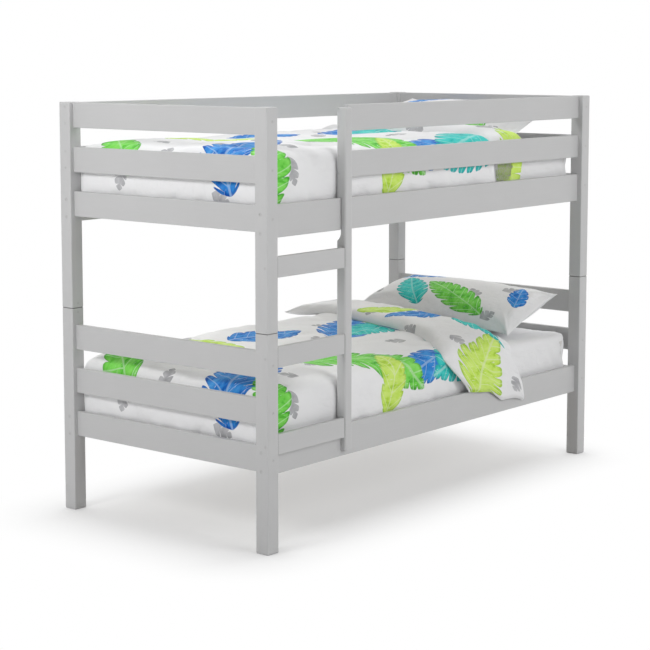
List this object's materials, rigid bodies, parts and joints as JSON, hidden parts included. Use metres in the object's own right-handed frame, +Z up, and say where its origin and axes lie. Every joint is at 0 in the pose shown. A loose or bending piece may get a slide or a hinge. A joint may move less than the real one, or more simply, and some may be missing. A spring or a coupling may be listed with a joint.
{
  "type": "bunk bed",
  "caption": "Painted wooden bunk bed with slatted beds, guard rails, fixed front ladder, mattresses, turned-down duvets and pillows.",
  "frame": {"origin": "on the floor, under the middle of the bed", "axes": "+X along the bed to the head end, -Y to the front, where the ladder is, +Z up"},
  "size_m": [1.988, 0.988, 1.48],
  "materials": {
    "painted_wood": "satin light grey paint over softwood",
    "slat_wood": "bare planed softwood",
    "dowel_wood": "bare beech",
    "steel": "zinc-plated steel, painted over at the heads",
    "mattress": "woven mattress cover",
    "sheet": "white cotton, fine plain weave",
    "duvet": "white cotton with a printed leaf pattern",
    "pillow": "white cotton with a printed leaf pattern"
  },
  "bodies": {
    "upper_bunk": {"guard_rail_back_mid": "painted_wood", "guard_rail_back_top": "painted_wood", "guard_rail_front_mid": "painted_wood", "guard_rail_front_top": "painted_wood", "ladder_rung_bottom": "painted_wood", "ladder_rung_middle": "painted_wood", "ladder_rung_top": "painted_wood", "ladder_upright": "painted_wood", "post_pegs": "steel", "upper_barrel_nuts": "steel", "upper_board_screws": "steel", "upper_dowels": "dowel_wood", "upper_foot_board_low": "painted_wood", "upper_foot_board_mid": "painted_wood", "upper_foot_board_top": "painted_wood", "upper_head_board_low": "painted_wood", "upper_head_board_mid": "painted_wood", "upper_head_board_top": "painted_wood", "upper_lock_screws": "steel", "upper_post_back_foot": "painted_wood", "upper_post_back_head": "painted_wood", "upper_post_front_foot": "painted_wood", "upper_post_front_head": "painted_wood", "upper_rail_bolts": "steel", "upper_side_rail_back": "painted_wood", "upper_side_rail_front": "painted_wood", "upper_slat_bearer_back": "slat_wood", "upper_slat_bearer_front": "slat_wood", "upper_slats": "slat_wood", "upper_wood_screws": "steel"},
    "lower_bunk": {"lower_barrel_nuts": "steel", "lower_board_screws": "steel", "lower_dowels": "dowel_wood", "lower_foot_board_low": "painted_wood", "lower_foot_board_mid": "painted_wood", "lower_foot_board_top": "painted_wood", "lower_head_board_low": "painted_wood", "lower_head_board_mid": "painted_wood", "lower_head_board_top": "painted_wood", "lower_lock_screws": "steel", "lower_post_back_foot": "painted_wood", "lower_post_back_head": "painted_wood", "lower_post_front_foot": "painted_wood", "lower_post_front_head": "painted_wood", "lower_rail_bolts": "steel", "lower_side_rail_back": "painted_wood", "lower_side_rail_front": "painted_wood", "lower_slat_bearer_back": "slat_wood", "lower_slat_bearer_front": "slat_wood", "lower_slats": "slat_wood", "lower_wood_screws": "steel", "rung_pins": "steel"},
    "lower_duvet_unit": {"lower_duvet": "duvet"},
    "lower_mattress_unit": {"lower_fitted_sheet": "sheet", "lower_mattress": "mattress"},
    "lower_pillow_unit": {"lower_pillow": "pillow"},
    "upper_duvet_unit": {"upper_duvet": "duvet"},
    "upper_mattress_unit": {"upper_fitted_sheet": "sheet", "upper_mattress": "mattress"},
    "upper_pillow_unit": {"upper_pillow": "pillow"}
  },
  "joints": [
    {"name": "upper_bunk_lift", "type": "slide", "parent": "lower_bunk", "child": "upper_bunk", "axis": [0, 0, 1], "range_m": [0, 0.2]},
    {"name": "lower_mattress_lift", "type": "slide", "parent": "lower_bunk", "child": "lower_mattress_unit", "axis": [0, 0, 1], "range_m": [0, 0.12]},
    {"name": "lower_duvet_lift", "type": "slide", "parent": "lower_mattress_unit", "child": "lower_duvet_unit", "axis": [0, 0, 1], "range_m": [0, 0.12]},
    {"name": "lower_pillow_lift", "type": "slide", "parent": "lower_mattress_unit", "child": "lower_pillow_unit", "axis": [0, 0, 1], "range_m": [0, 0.12]},
    {"name": "upper_mattress_lift", "type": "slide", "parent": "upper_bunk", "child": "upper_mattress_unit", "axis": [0, 0, 1], "range_m": [0, 0.4]},
    {"name": "upper_duvet_lift", "type": "slide", "parent": "upper_mattress_unit", "child": "upper_duvet_unit", "axis": [0, 0, 1], "range_m": [0, 0.2]},
    {"name": "upper_pillow_lift", "type": "slide", "parent": "upper_mattress_unit", "child": "upper_pillow_unit", "axis": [0, 0, 1], "range_m": [0, 0.2]}
  ]
}
